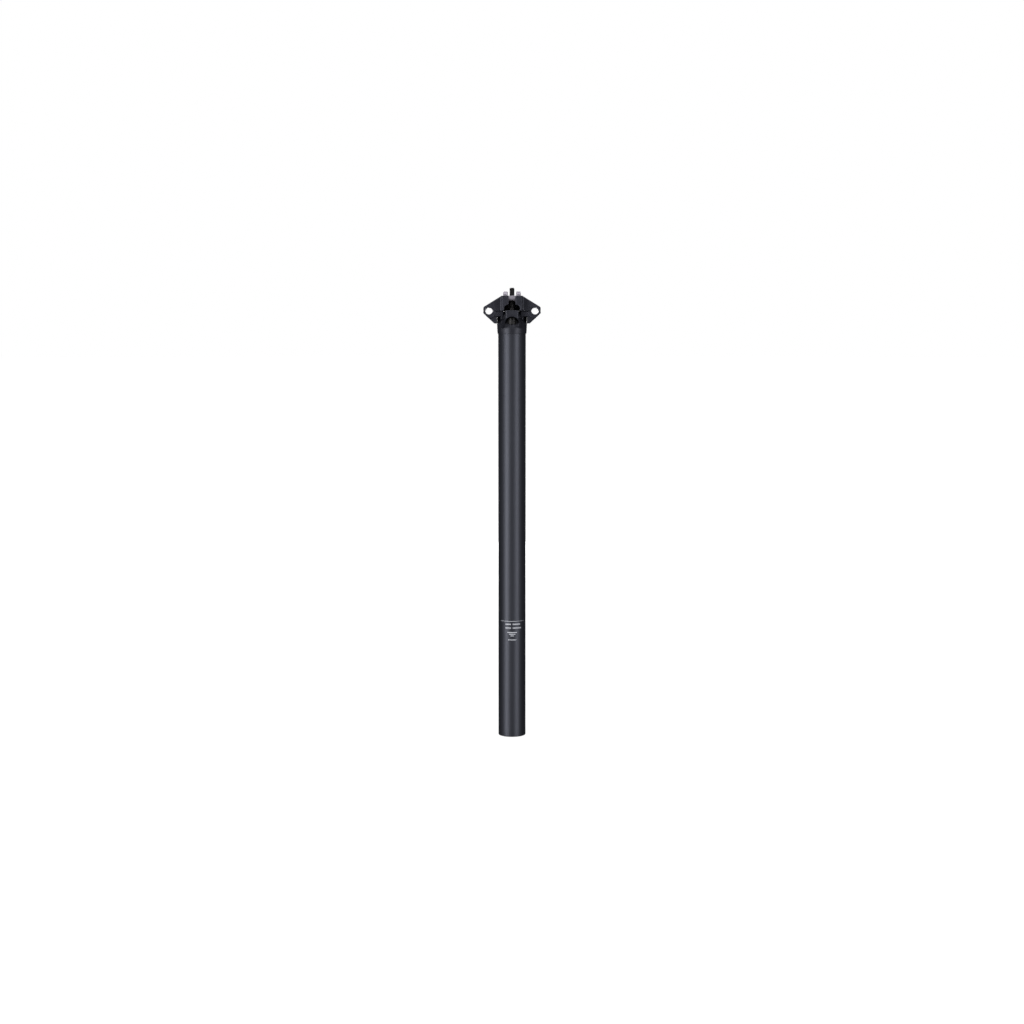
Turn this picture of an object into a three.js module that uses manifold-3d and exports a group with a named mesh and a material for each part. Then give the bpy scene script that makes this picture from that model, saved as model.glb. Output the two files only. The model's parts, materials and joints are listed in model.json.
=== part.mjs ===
// Suspension seatpost: a 27.2 mm outer tube, a short telescopic stage hidden under the head's skirt,
// and a forged two-bolt saddle clamp.
// Millimetres. The origin is the centre of the tube's lower end and +Z runs up the post.
// -Y is the front of the head and +X is to the right when the head is seen from the front.
// Everything stands in its fully extended, level rest position.

import * as THREE from 'three';
import { mergeVertices } from 'three/addons/utils/BufferGeometryUtils.js';
import Module from 'manifold-3d';

const wasm = await Module();
wasm.setup();

// ---- driving dimensions -------------------------------------------------------------------------

const GAP = 0.3; // between pieces that touch
const TRAVEL = 10; // suspension stroke
const SEAM = 400; // height of the skirt's lower edge

const TUBE_R = 13.6;
const BORE_R = 12.2;
const TUBE_TOP = SEAM + 3;

const STANCHION_R = 11;
const STANCHION_BORE_R = 9;
const STANCHION_END_R = 10.2; // turned-down lower end that carries the lower bushing
const STANCHION_LOW = 254;
const STANCHION_SHOULDER = 276;
const RUNNING_GAP = 0.1; // radial clearance of a sliding fit

const SPRING_LOW = 105.6;
const SPRING_HIGH = 249.4;
const SPRING_MEAN_R = 9.6;
const SPRING_WIRE_R = 1.4;
const SPRING_TURNS = 13;

const SKIRT_TOP = SEAM + 9.8;
const SKIRT_LIP_R = 13.95;
const SKIRT_LOW_R = 14.4;
const SKIRT_HIGH_R = 14.7;
const SHROUD_BORE_R = 13.75; // hollow under the head that the outer tube slides into
const SHROUD_CEILING = TUBE_TOP + TRAVEL + 0.7;

const HEAD_LOW = SEAM + 9.4;
const HEAD_TOP = SEAM + 23.4;
const TILT_Z = SEAM + 36.6; // height of the clamp's tilt axis, which runs along X
const SEAT_R = 18.7; // concave seat of the head about the tilt axis
const CRADLE_R = SEAT_R - GAP;
const ARM_Y = 25.5; // reach of the head's arms in front of and behind the post's axis
const ARM_HALF_WIDTH = 6.6; // the clamp straddles the arms
const SHOULDER_HALF_WIDTH = 14.6;
const SHOULDER_Y = 9.2;

const BOLT_Y = 19.3; // the bolts stand this far in front of and behind the post's axis
const BOLT_R = 2.5;
const BOLT_HEAD_R = 4.25;
const BOLT_LOW = SEAM + 9.8;
const BOLT_HEAD_TOP = BOLT_LOW + 5;
const BOLT_TOP = SEAM + 45.2;
const BOSS_LOW = SEAM + 17; // face of the head that the bolt's washer bears on
const ARCH_R = 6.9;
const ARCH_Z = SEAM + 10.3;
const ARCH_DEPTH_Y = 14.9;

const RAIL_X = 22.5; // half the spacing of the saddle rails
const RAIL_Z = SEAM + 22.8;
const RAIL_R = 3.6;
const RAIL_OFFSET = 0.4; // each groove's centre lies past the split, so that it grips the rail
const CLAMP_HALF_WIDTH = 28;
const JAW_HALF_LENGTH = 16.5;
const LUG_HALF_LENGTH = 25.4;
const LUG_HALF_WIDTH = 10.2;
const LUG_LOW = TILT_Z - 8;
const WEB_HALF_WIDTH = 7.5; // the opening that straddles the arms, closed by a web in the middle
const SPLIT_UP = RAIL_Z + GAP / 2;
const SPLIT_DOWN = RAIL_Z - GAP / 2;
const WING_INNER_X = 14.9;
const WALL_INNER_X = 8.3; // walls in front of and behind the head's shoulders, beside its arms
const WALL_LOW = SEAM + 17.6;

const NUT_R = 5;
const NUT_HALF_LENGTH = 8.5;
const NUT_BORE_R = 3.3; // wide enough to follow the tilting clamp along an upright bolt
const NUT_FLAT_Z = TILT_Z + 1;

const FINE = 44; // sides of the large turned pieces
const COARSE = 28; // sides of the small ones

// ---- materials ----------------------------------------------------------------------------------

function material(color, roughness, metalness) {
  return new THREE.MeshStandardMaterial({ color, roughness, metalness });
}

const BLACK_ANODISED = [0x1b1c20, 0.42, 0.7];
const BLACK_FORGED = [0x17181a, 0.5, 0.6];
const BLACK_STEEL = [0x141414, 0.45, 0.8];
const BRIGHT_STEEL = [0xc4c5cb, 0.3, 1];
const SPRING_STEEL = [0x8b8e94, 0.35, 0.9];
const NYLON = [0xd8d4c8, 0.6, 0];
const RUBBER = [0x101010, 0.85, 0];
const ELASTOMER = [0xb8862f, 0.75, 0];
const BRASS = [0xb5924a, 0.35, 0.9];

// ---- shape helpers ------------------------------------------------------------------------------

const X = new THREE.Vector3(1, 0, 0);
const Y = new THREE.Vector3(0, 1, 0);
const Z = new THREE.Vector3(0, 0, 1);

function solid(geometry) {
  geometry.deleteAttribute('normal');
  geometry.deleteAttribute('uv');
  const merged = mergeVertices(geometry, 1e-4);
  const kept = [];
  const corners = merged.index.array;
  for (let i = 0; i < corners.length; i += 3) {
    const [a, b, c] = corners.slice(i, i + 3);
    if (a !== b && b !== c && c !== a) kept.push(a, b, c);
  }
  const vertProperties = new Float32Array(merged.attributes.position.array);
  const triVerts = new Uint32Array(kept);
  return new wasm.Manifold(new wasm.Mesh({ numProp: 3, vertProperties, triVerts }));
}

// Turned piece from a profile of [radius, z], outside going up. It starts on the axis or is a ring.
function turned(profile, segments = COARSE) {
  const loop = profile[0][0] === 0 ? profile : [...profile, profile[0]];
  const points = loop.map(([r, z]) => new THREE.Vector2(r, z));
  return solid(new THREE.LatheGeometry(points, segments).rotateX(Math.PI / 2));
}

function ring(inner, outer, low, high, segments = COARSE) {
  return turned([[outer, low], [outer, high], [inner, high], [inner, low]], segments);
}

function shapeOf(outline) {
  if (outline instanceof THREE.Shape) return outline;
  return new THREE.Shape(outline.map(([u, v]) => new THREE.Vector2(u, v)));
}

// Prisms: an outline of [x, y] along Z, of [x, z] along Y and of [y, z] along X.
function alongZ(outline, low, high) {
  const settings = { depth: high - low, bevelEnabled: false, curveSegments: 14 };
  return new THREE.ExtrudeGeometry(shapeOf(outline), settings).translate(0, 0, low);
}

function prismZ(outline, low, high) {
  return solid(alongZ(outline, low, high));
}

function prismY(outline, low, high) {
  const turn = new THREE.Matrix4().makeBasis(X, Z, Y.clone().negate());
  return solid(alongZ(outline, -high, -low).applyMatrix4(turn));
}

function prismX(outline, low, high) {
  return solid(alongZ(outline, low, high).applyMatrix4(new THREE.Matrix4().makeBasis(Y, Z, X)));
}

function block(x0, x1, y0, y1, z0, z1) {
  const box = new THREE.BoxGeometry(x1 - x0, y1 - y0, z1 - z0);
  return solid(box.translate((x0 + x1) / 2, (y0 + y1) / 2, (z0 + z1) / 2));
}

function circle(radius, u, v) {
  return new THREE.Shape().absarc(u, v, radius, 0, 2 * Math.PI, false);
}

function rodX(radius, y, z, half) {
  return prismX(circle(radius, y, z), -half, half);
}

function rodY(radius, x, z, half) {
  return prismY(circle(radius, x, z), -half, half);
}

function rodZ(radius, x, y, low, high) {
  return prismZ(circle(radius, x, y), low, high);
}

function hexagon(acrossFlats) {
  const corner = acrossFlats / Math.sqrt(3);
  const corners = [0, 1, 2, 3, 4, 5].map((i) => (i * Math.PI) / 3);
  return corners.map((angle) => [corner * Math.cos(angle), corner * Math.sin(angle)]);
}

// Completes an outline given for u >= 0, from its top centre to its bottom centre.
function mirrored(half) {
  const other = half.filter(([u]) => u > 0).map(([u, v]) => [-u, v]);
  return [...half, ...other.reverse()];
}

// Completes an outline given for one quarter, from the v axis to the u axis.
function fourfold(quarter) {
  const below = quarter.filter(([, v]) => v > 0).map(([u, v]) => [u, -v]);
  return mirrored([...quarter, ...below.reverse()]);
}

const group = new THREE.Group();

function add(name, body, [color, roughness, metalness]) {
  const mesh = body.getMesh();
  const geometry = new THREE.BufferGeometry();
  geometry.setAttribute('position', new THREE.BufferAttribute(mesh.vertProperties, 3));
  geometry.setIndex(new THREE.BufferAttribute(mesh.triVerts, 1));
  geometry.computeVertexNormals();
  const piece = new THREE.Mesh(geometry, material(color, roughness, metalness));
  piece.name = name;
  group.add(piece);
}

// ---- outer tube and what is fixed in it ---------------------------------------------------------

const STOP_GROOVE = { low: 281.2, high: 283, r: 12.7 };

function outerTube() {
  return turned([
    [BORE_R + 0.3, 0], [TUBE_R - 0.5, 0], [TUBE_R, 0.6], [TUBE_R, TUBE_TOP - 0.3],
    [TUBE_R - 0.3, TUBE_TOP], [BORE_R + 0.2, TUBE_TOP], [BORE_R, TUBE_TOP - 0.2],
    [BORE_R, STOP_GROOVE.high],
    [STOP_GROOVE.r, STOP_GROOVE.high], [STOP_GROOVE.r, STOP_GROOVE.low], [BORE_R, STOP_GROOVE.low],
    [BORE_R, 0.4],
  ], FINE);
}

function bottomCap() {
  const pinHoles = [-1, 1].map((side) => rodZ(1.25, side * 8.6, 0, 0, 7));
  return ring(5.2, BORE_R - RUNNING_GAP, 3, 13).subtract(pinHoles[0]).subtract(pinHoles[1]);
}

function preloadScrew() {
  const body = turned([[0, 4], [4.6, 4], [5, 4.4], [5, 32.4], [4.4, 33], [0, 33]]);
  return body.subtract(prismZ(hexagon(6), 3, 10));
}

function lowerSpringSeat() {
  return turned([
    [0, 102.3], [11.6, 102.3], [11.6, 105.3], [7.6, 105.3], [7.6, 110], [6.8, 111], [0, 111],
  ]);
}

function elastomerBumper() {
  return turned([[0, 111.3], [6, 111.3], [6, 230], [4, 232], [0, 232]]);
}

class Helix extends THREE.Curve {
  getPoint(t, target = new THREE.Vector3()) {
    const angle = 2 * Math.PI * SPRING_TURNS * t;
    const low = SPRING_LOW + SPRING_WIRE_R;
    const rise = SPRING_HIGH - SPRING_LOW - 2 * SPRING_WIRE_R;
    return target.set(SPRING_MEAN_R * Math.cos(angle), SPRING_MEAN_R * Math.sin(angle), low + rise * t);
  }
}

function coilSpring() {
  const wire = shapeOf(hexagon(SPRING_WIRE_R * Math.sqrt(3)));
  const settings = { steps: SPRING_TURNS * 14, extrudePath: new Helix(), bevelEnabled: false };
  return solid(new THREE.ExtrudeGeometry(wire, settings));
}

function stopRing() {
  const { low, high, r } = STOP_GROOVE;
  const gap = block(10, 14, -1.5, 1.5, low - 1, high + 1);
  return ring(STANCHION_R + 0.3, r - 0.1, low + 0.2, high - 0.2).subtract(gap);
}

const BUSHING_LOW = 372;
const BUSHING_HIGH = SEAM - 1.5;
const KEY_LOW = 374;
const KEY_HIGH = 386;

function keySlots(halfWidth, inner, low, high) {
  return [-1, 1].map((side) => {
    const [near, far] = [side * inner, side * 13].sort((a, b) => a - b);
    return block(near, far, -halfWidth, halfWidth, low, high);
  });
}

function upperBushing() {
  const [left, right] = keySlots(1.3, 10.5, KEY_LOW - GAP, KEY_HIGH + GAP);
  const sleeve = ring(STANCHION_R + RUNNING_GAP, BORE_R - RUNNING_GAP, BUSHING_LOW, BUSHING_HIGH, FINE);
  return sleeve.subtract(left).subtract(right);
}

function key(side) {
  const [near, far] = [side * 10.5, side * 11.95].sort((a, b) => a - b);
  return block(near, far, -1, 1, KEY_LOW, KEY_HIGH);
}

function wiperSeal() {
  return turned([
    [BORE_R - RUNNING_GAP, SEAM - 1.2], [BORE_R - RUNNING_GAP, SEAM + 2.4],
    [BORE_R - 0.6, SEAM + 2.8], [STANCHION_R + 0.15, SEAM + 2.8],
    [STANCHION_R + 0.4, SEAM + 1.6], [STANCHION_R + 0.4, SEAM - 1.2],
  ], FINE);
}

// ---- sliding stage ------------------------------------------------------------------------------

function stanchion() {
  const high = SHROUD_CEILING - GAP;
  const tube = turned([
    [STANCHION_END_R, STANCHION_LOW], [STANCHION_END_R, STANCHION_SHOULDER],
    [STANCHION_R, STANCHION_SHOULDER], [STANCHION_R, high], [STANCHION_BORE_R, high],
    [STANCHION_BORE_R, STANCHION_LOW],
  ], FINE);
  const [left, right] = keySlots(1.2, 10.3, KEY_LOW - 1, KEY_HIGH + TRAVEL + 1);
  return tube.subtract(left).subtract(right);
}

function stanchionFoot() {
  return turned([
    [0, 243], [6.8, 243], [7.6, 244], [7.6, 249.7], [10.9, 249.7], [10.9, STANCHION_LOW - GAP],
    [STANCHION_BORE_R - 0.2, STANCHION_LOW - GAP], [STANCHION_BORE_R - 0.2, 262], [0, 262],
  ]);
}

function lowerBushing() {
  const inner = STANCHION_END_R + RUNNING_GAP;
  return ring(inner, BORE_R - RUNNING_GAP, STANCHION_LOW, STANCHION_SHOULDER - GAP);
}

function topoutRing() {
  const inner = STANCHION_R + RUNNING_GAP;
  return ring(inner, BORE_R - RUNNING_GAP, STANCHION_SHOULDER, STOP_GROOVE.low - 0.2);
}

// ---- head ---------------------------------------------------------------------------------------

const SPIGOT_R = STANCHION_BORE_R - 0.2;
const SPIGOT_LOW = SEAM - 15.5;

function headNeck() {
  return turned([
    [0, SPIGOT_LOW], [SPIGOT_R, SPIGOT_LOW], [SPIGOT_R, SHROUD_CEILING], [SHROUD_BORE_R, SHROUD_CEILING],
    [SHROUD_BORE_R, SEAM + 0.4], [SKIRT_LIP_R, SEAM + 0.4], [SKIRT_LOW_R, SEAM + 2.2],
    [SKIRT_HIGH_R, SKIRT_TOP], [SHOULDER_HALF_WIDTH, SKIRT_TOP + 0.4],
    [SHOULDER_HALF_WIDTH, SHROUD_CEILING - 0.5], [13.6, SHROUD_CEILING + 1.4],
    [0, SHROUD_CEILING + 1.4],
  ], FINE);
}

// Two arms, narrow at the top and splayed towards the neck, that cross the shoulders.
function headArms() {
  const front = mirrored([
    [0, HEAD_TOP], [ARM_HALF_WIDTH - 0.8, HEAD_TOP], [ARM_HALF_WIDTH, HEAD_TOP - 0.8],
    [ARM_HALF_WIDTH + 0.1, SEAM + 18], [9.4, SEAM + 10.4], [9.4, HEAD_LOW], [0, HEAD_LOW],
  ]);
  const plan = fourfold([[6, ARM_Y], [7.4, ARM_Y - 0.9], [9, 22], [9.6, 18], [9.6, 0]]);
  const side = mirrored([
    [0, HEAD_TOP], [ARM_Y - 0.8, HEAD_TOP], [ARM_Y, HEAD_TOP - 0.8], [ARM_Y, HEAD_LOW + 3],
    [23, HEAD_LOW], [0, HEAD_LOW],
  ]);
  const arms = prismY(front, -ARM_Y, ARM_Y).intersect(prismX(side, -20, 20));
  return arms.intersect(prismZ(plan, HEAD_LOW, HEAD_TOP));
}

function headShoulders() {
  const plan = fourfold([
    [10.5, SHOULDER_Y], [SHOULDER_HALF_WIDTH, SHOULDER_Y - 2.7], [SHOULDER_HALF_WIDTH, 0],
  ]);
  return prismZ(plan, HEAD_LOW, HEAD_TOP);
}

function archPocket(side) {
  const outline = new THREE.Shape().absarc(0, ARCH_Z, ARCH_R, 0, Math.PI, false);
  outline.lineTo(-ARCH_R, HEAD_LOW - 1);
  outline.lineTo(ARCH_R, HEAD_LOW - 1);
  const [near, far] = [side * ARCH_DEPTH_Y, side * 27].sort((a, b) => a - b);
  const bearing = rodZ(BOLT_HEAD_R + 0.55, 0, side * BOLT_Y, HEAD_LOW - 1, BOSS_LOW);
  return prismY(outline, near, far).add(bearing);
}

function postHead() {
  const seat = rodX(SEAT_R, 0, TILT_Z, 20);
  // the arms and shoulders are hollow where the neck's own hollow passes through them
  const hollow = rodZ(SHROUD_BORE_R, 0, 0, HEAD_LOW - 1, SHROUD_CEILING);
  const spigot = rodZ(SPIGOT_R, 0, 0, HEAD_LOW - 1, SHROUD_CEILING + 0.2);
  const top = headArms().add(headShoulders()).subtract(hollow.subtract(spigot));
  let head = headNeck().add(top).subtract(seat);
  for (const side of [-1, 1]) {
    const hole = rodZ(BOLT_R + GAP, 0, side * BOLT_Y, BOSS_LOW - 1, HEAD_TOP + 1);
    head = head.subtract(archPocket(side)).subtract(hole);
  }
  return head;
}

// ---- saddle clamp -------------------------------------------------------------------------------

function railGrooves(z) {
  return rodY(RAIL_R, -RAIL_X, z, 30).add(rodY(RAIL_R, RAIL_X, z, 30));
}

function jawPlan() {
  const end = JAW_HALF_LENGTH;
  const corner = [[26, end], [27.4, end - 0.8], [CLAMP_HALF_WIDTH, end - 2.4]];
  return fourfold([[0, end], ...corner, [CLAMP_HALF_WIDTH, 0]]);
}

function cradleWing(side) {
  const drop = (x, depth) => [side * x, TILT_Z - depth];
  const outline = [
    [side * WING_INNER_X, SPLIT_DOWN], [side * CLAMP_HALF_WIDTH, SPLIT_DOWN],
    drop(CLAMP_HALF_WIDTH, 15.6), drop(27.3, 16.6), drop(25.4, 18.4), drop(21.6, 22.3),
    drop(19.2, 24.3), drop(17.5, 25.4), drop(WING_INNER_X, 26),
  ];
  return prismY(outline, -JAW_HALF_LENGTH, JAW_HALF_LENGTH);
}

// The bridge slides in the head's concave seat: its underside is an arc about the tilt axis.
function cradleBridge() {
  const half = Math.acos((TILT_Z - SPLIT_DOWN) / CRADLE_R);
  const down = -Math.PI / 2;
  const segment = new THREE.Shape().absarc(0, TILT_Z, CRADLE_R, down - half, down + half, false);
  return prismX(segment, -WING_INNER_X - 1, WING_INNER_X + 1);
}

function cradleWall(side, end) {
  const [x0, x1] = [side * WALL_INNER_X, side * (WING_INNER_X + 1)].sort((a, b) => a - b);
  const [y0, y1] = [end * 13.2, end * (JAW_HALF_LENGTH - 0.6)].sort((a, b) => a - b);
  return block(x0, x1, y0, y1, WALL_LOW, SPLIT_DOWN);
}

function lowerCradle() {
  let cradle = cradleWing(-1).add(cradleWing(1)).intersect(prismZ(jawPlan(), SEAM, TILT_Z));
  for (const side of [-1, 1]) {
    cradle = cradle.add(cradleWall(side, -1)).add(cradleWall(side, 1));
  }
  return cradle.add(cradleBridge()).subtract(railGrooves(RAIL_Z + RAIL_OFFSET));
}

function upperClampBlank() {
  const top = TILT_Z + 1;
  const front = mirrored([
    [0, top], [LUG_HALF_WIDTH, top], [26.8, TILT_Z - 9.2], [CLAMP_HALF_WIDTH, TILT_Z - 10],
    [CLAMP_HALF_WIDTH, SPLIT_UP], [WEB_HALF_WIDTH, SPLIT_UP], [WEB_HALF_WIDTH, LUG_LOW - 1.8],
    [5.2, LUG_LOW], [0, LUG_LOW],
  ]);
  const lugs = block(-LUG_HALF_WIDTH, LUG_HALF_WIDTH, -LUG_HALF_LENGTH, LUG_HALF_LENGTH, SEAM, top);
  const plan = prismZ(jawPlan(), SEAM, top).add(lugs);
  const valley = [[-13.2, top + 1], [-10.5, TILT_Z - 2.2], [10.5, TILT_Z - 2.2], [13.2, top + 1]];
  const web = block(-WEB_HALF_WIDTH, WEB_HALF_WIDTH, -8, 8, SPLIT_UP, TILT_Z - 4);
  return prismY(front, -26, 26).intersect(plan).subtract(prismX(valley, -18, 18)).add(web);
}

function upperClamp() {
  let clamp = upperClampBlank().subtract(railGrooves(RAIL_Z - RAIL_OFFSET));
  for (const side of [-1, 1]) {
    const [near, far] = [side * 14.6, side * 26].sort((a, b) => a - b);
    const slot = block(-3.3, 3.3, near, far, SEAM, TILT_Z + 5);
    const pocket = rodX(NUT_R + GAP, side * BOLT_Y, TILT_Z, NUT_HALF_LENGTH + GAP);
    const [back, front] = [side * BOLT_Y - NUT_R - GAP, side * BOLT_Y + NUT_R + GAP];
    const mouth = block(-NUT_HALF_LENGTH - GAP, NUT_HALF_LENGTH + GAP, back, front, TILT_Z, TILT_Z + 5);
    clamp = clamp.subtract(slot).subtract(pocket).subtract(mouth);
  }
  return clamp;
}

function barrelNut(side) {
  const y = side * BOLT_Y;
  const bore = rodZ(NUT_BORE_R, 0, y, TILT_Z - 8, TILT_Z + 8);
  const flat = block(-4.2, 4.2, y - 6, y + 6, NUT_FLAT_Z, TILT_Z + 8);
  return rodX(NUT_R, y, TILT_Z, NUT_HALF_LENGTH).subtract(bore).subtract(flat);
}

function bolt(side) {
  const body = turned([
    [0, BOLT_LOW], [BOLT_HEAD_R - 0.4, BOLT_LOW], [BOLT_HEAD_R, BOLT_LOW + 0.4],
    [BOLT_HEAD_R, BOLT_HEAD_TOP], [BOLT_R, BOLT_HEAD_TOP], [BOLT_R, BOLT_TOP - 0.6],
    [BOLT_R - 0.5, BOLT_TOP], [0, BOLT_TOP],
  ]);
  return body.subtract(prismZ(hexagon(4), BOLT_LOW - 1, BOLT_LOW + 2.8)).translate(0, side * BOLT_Y, 0);
}

function headWasher(side) {
  const low = BOLT_HEAD_TOP + 0.2;
  const high = BOSS_LOW - 0.2;
  const washer = turned([[4.5, low], [4.5, low + 0.8], [3.6, high], [2.8, high], [2.8, low]]);
  return washer.translate(0, side * BOLT_Y, 0);
}

// ---- the assembly -------------------------------------------------------------------------------

add('outer_tube', outerTube(), BLACK_ANODISED);
add('bottom_cap', bottomCap(), BLACK_ANODISED);
add('preload_screw', preloadScrew(), BRIGHT_STEEL);
add('pressure_plate', turned([[0, 33.3], [11.6, 33.3], [11.6, 37], [0, 37]]), BRIGHT_STEEL);
add('preload_tube', ring(9.6, 11.6, 37.3, 102), BLACK_ANODISED);
add('lower_spring_seat', lowerSpringSeat(), NYLON);
add('elastomer_bumper', elastomerBumper(), ELASTOMER);
add('coil_spring', coilSpring(), SPRING_STEEL);
add('stop_ring', stopRing(), SPRING_STEEL);
add('upper_bushing', upperBushing(), NYLON);
add('wiper_seal', wiperSeal(), RUBBER);
add('left_key', key(-1), BRASS);
add('right_key', key(1), BRASS);

add('stanchion', stanchion(), BRIGHT_STEEL);
add('stanchion_foot', stanchionFoot(), NYLON);
add('lower_bushing', lowerBushing(), NYLON);
add('topout_ring', topoutRing(), RUBBER);
add('post_head', postHead(), BLACK_FORGED);

add('lower_cradle', lowerCradle(), BLACK_FORGED);
add('upper_clamp', upperClamp(), BLACK_FORGED);
for (const [side, end] of [[-1, 'front'], [1, 'rear']]) {
  add(`${end}_bolt`, bolt(side), BLACK_STEEL);
  add(`${end}_barrel_nut`, barrelNut(side), BRIGHT_STEEL);
  add(`${end}_head_washer`, headWasher(side), BRIGHT_STEEL);
}

export default group;
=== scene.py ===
import json
import math

import bmesh
import bpy
import numpy as np
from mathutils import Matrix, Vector


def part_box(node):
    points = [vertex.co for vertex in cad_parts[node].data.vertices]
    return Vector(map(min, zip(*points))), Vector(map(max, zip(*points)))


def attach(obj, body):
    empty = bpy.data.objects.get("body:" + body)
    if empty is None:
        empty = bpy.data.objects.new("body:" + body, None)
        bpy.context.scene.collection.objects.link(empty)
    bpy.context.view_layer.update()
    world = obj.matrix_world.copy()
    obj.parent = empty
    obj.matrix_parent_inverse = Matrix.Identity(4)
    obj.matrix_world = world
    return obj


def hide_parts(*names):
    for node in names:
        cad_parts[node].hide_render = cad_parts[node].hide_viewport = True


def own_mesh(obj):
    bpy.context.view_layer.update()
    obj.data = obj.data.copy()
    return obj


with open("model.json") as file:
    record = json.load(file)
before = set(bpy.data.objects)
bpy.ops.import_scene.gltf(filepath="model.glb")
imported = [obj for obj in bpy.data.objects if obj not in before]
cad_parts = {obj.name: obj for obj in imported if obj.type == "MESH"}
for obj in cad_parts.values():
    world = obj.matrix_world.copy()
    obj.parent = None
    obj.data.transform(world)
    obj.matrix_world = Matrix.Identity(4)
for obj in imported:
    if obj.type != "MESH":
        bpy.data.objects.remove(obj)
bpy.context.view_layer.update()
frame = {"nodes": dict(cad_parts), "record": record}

# The looks of a black suspension seatpost: the forged head, the clamp, the screws, the tube and its
# printed marks, a studio and a camera. Shapes are worked out in millimetres, with heights counted
# from the seam between tube and head, and every mesh is written in metres in the CAD frame.

MM = 0.001

# ---- sizes, from the frame ----------------------------------------------------------------------


def box_mm(node):
    """The low and high corners of a node's box, in millimetres."""
    return (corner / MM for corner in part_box(node))


def opening_mm(name):
    """The low and high corners of a stated opening, in millimetres."""
    openings = frame["record"]["physics"]["openings"]
    box = next(o["box_m"] for o in openings if o["name"] == name)
    return (Vector(corner) / MM for corner in box)


tube_high = tuple(box_mm("outer_tube"))[1]
head_high = tuple(box_mm("post_head"))[1]
clamp_low, clamp_high = box_mm("upper_clamp")
cradle_low, cradle_high = box_mm("lower_cradle")
nut_low, nut_high = box_mm("rear_barrel_nut")
bolt_low, bolt_high = box_mm("rear_bolt")
washer_low, washer_high = box_mm("rear_head_washer")
rail_low, rail_high = opening_mm("right_rail_channel")

TUBE_R = tube_high.x
TUBE_OVERLAP = 3.0  # length of tube inside the skirt at rest
SEAM = tube_high.z - TUBE_OVERLAP
TILT_H = (nut_low.z + nut_high.z) / 2 - SEAM  # height of the clamp's tilt axis
BOLT_Y = (bolt_low.y + bolt_high.y) / 2
BOLT_LOW = bolt_low.z - SEAM
BOLT_TOP = bolt_high.z - SEAM
BOLT_HEAD_R = (bolt_high.x - bolt_low.x) / 2
BOLT_R = 2.5
WASHER_LOW, WASHER_TOP = washer_low.z - SEAM, washer_high.z - SEAM
NUT_R = 5.0
NUT_HALF_LENGTH = 8.5

CLAMP_X = clamp_high.x
CLAMP_TOP = clamp_high.z - SEAM
LUG_Y = clamp_high.y
JAW_Y = cradle_high.y
SPLIT_UP = clamp_low.z - SEAM  # underside of the upper half
SPLIT_DOWN = cradle_high.z - SEAM  # top of the lower half
CRADLE_LOW = cradle_low.z - SEAM
RAIL_X = (rail_low.x + rail_high.x) / 2
RAIL_H = (rail_low.z + rail_high.z) / 2 - SEAM
RAIL_R = 3.6
RAIL_OFFSET = 0.4  # each half of a rail channel is centred past the split

HEAD_TOP = head_high.z - SEAM
ARM_Y = head_high.y
SKIRT_R = head_high.x
SEAT_R = 18.7  # the head's concave seat about the tilt axis
CRADLE_R = SEAT_R - 0.3


# ---- distance fields: negative inside, in millimetres -------------------------------------------

# A field is a function of x, y and h. Pieces that are the same on both sides are worked out from
# ax = |x| and ay = |y|. The first number given to join, meet and cut is how much the corner is
# rounded: most on the forgings' outer edges, least where a tool has cut them.

INSIDE = -9.0  # a distance that leaves the rest of an intersection alone


def join(blend, first, *others):
    """Union of fields, with a fillet about half as wide as blend in the corners."""
    for other in others:
        share = np.clip(0.5 + 0.5 * (other - first) / blend, 0, 1)
        first = other * (1 - share) + first * share - blend * share * (1 - share)
    return first


def meet(blend, first, *others):
    """Intersection of fields, with the edges rounded."""
    return -join(blend, -first, *[-other for other in others])


def cut(blend, body, tool):
    """What is left of body once tool is taken out of it."""
    return meet(blend, body, -tool)


def line(u, v, start, end):
    """Signed distance to the straight line from start to end; its right-hand side is inside."""
    du, dv = end[0] - start[0], end[1] - start[1]
    length = math.hypot(du, dv)
    return ((v - start[1]) * du - (u - start[0]) * dv) / length


def rod(u, v, centre, radius):
    """Distance to an endless rod that stands on the u, v plane at centre."""
    return np.hypot(u - centre[0], v - centre[1]) - radius


def mesh_object(name, points, faces, smooth=True):
    """A mesh object from points in millimetres, heights from the seam."""
    points = np.asarray(points, float) + (0, 0, SEAM)
    mesh = bpy.data.meshes.new(name)
    mesh.from_pydata((points * MM).tolist(), [], [list(map(int, f)) for f in faces])
    mesh.validate()
    mesh.shade_smooth() if smooth else mesh.shade_flat()
    piece = bpy.data.objects.new(name, mesh)
    bpy.context.scene.collection.objects.link(piece)
    return piece


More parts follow.
